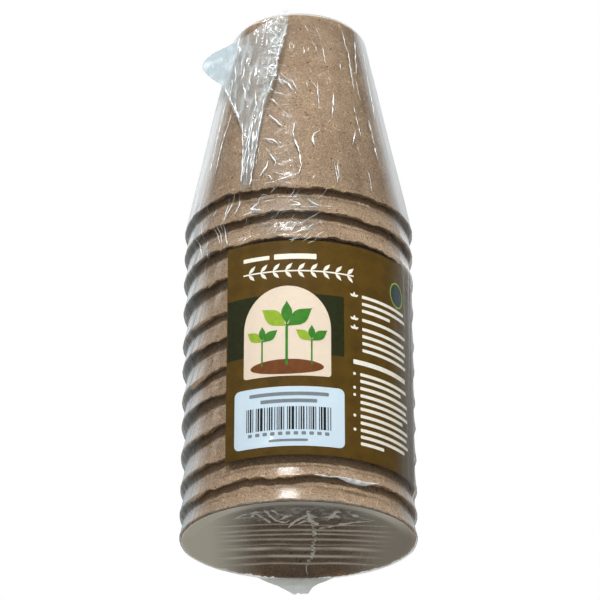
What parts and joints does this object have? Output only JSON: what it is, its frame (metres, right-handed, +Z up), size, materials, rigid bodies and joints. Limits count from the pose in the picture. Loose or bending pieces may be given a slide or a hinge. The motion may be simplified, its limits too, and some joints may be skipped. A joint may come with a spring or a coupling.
{
  "type": "fibre plant pot pack",
  "caption": "Sealed shrink-film pack of nested round tapered fibre plant pots for seedlings, bases up, with a printed label card and a sticker under the film.",
  "frame": {"origin": "centre of the film panel over the last pot's mouth, on its outer face, where the pack rests", "axes": "+Z up along the stack towards the pots' bases, -Y the side that the label faces, +X to its right"},
  "size_m": [0.0814, 0.0969, 0.1947],
  "materials": {
    "pressed_fibre": "matte",
    "clear_film": "gloss",
    "printed_card": "satin",
    "sticker_paper": "satin"
  },
  "bodies": {
    "root": {"pot_01": "pressed_fibre", "pot_02": "pressed_fibre", "pot_03": "pressed_fibre", "pot_04": "pressed_fibre", "pot_05": "pressed_fibre", "pot_06": "pressed_fibre", "pot_07": "pressed_fibre", "pot_08": "pressed_fibre", "pot_09": "pressed_fibre", "pot_10": "pressed_fibre", "pot_11": "pressed_fibre", "pot_12": "pressed_fibre", "film_sleeve": "clear_film", "film_mouth_panel": "clear_film", "film_base_panel": "clear_film", "film_seam": "clear_film", "film_corner_flap": "clear_film", "label_card": "printed_card", "barcode_sticker": "sticker_paper"}
  },
  "joints": []
}
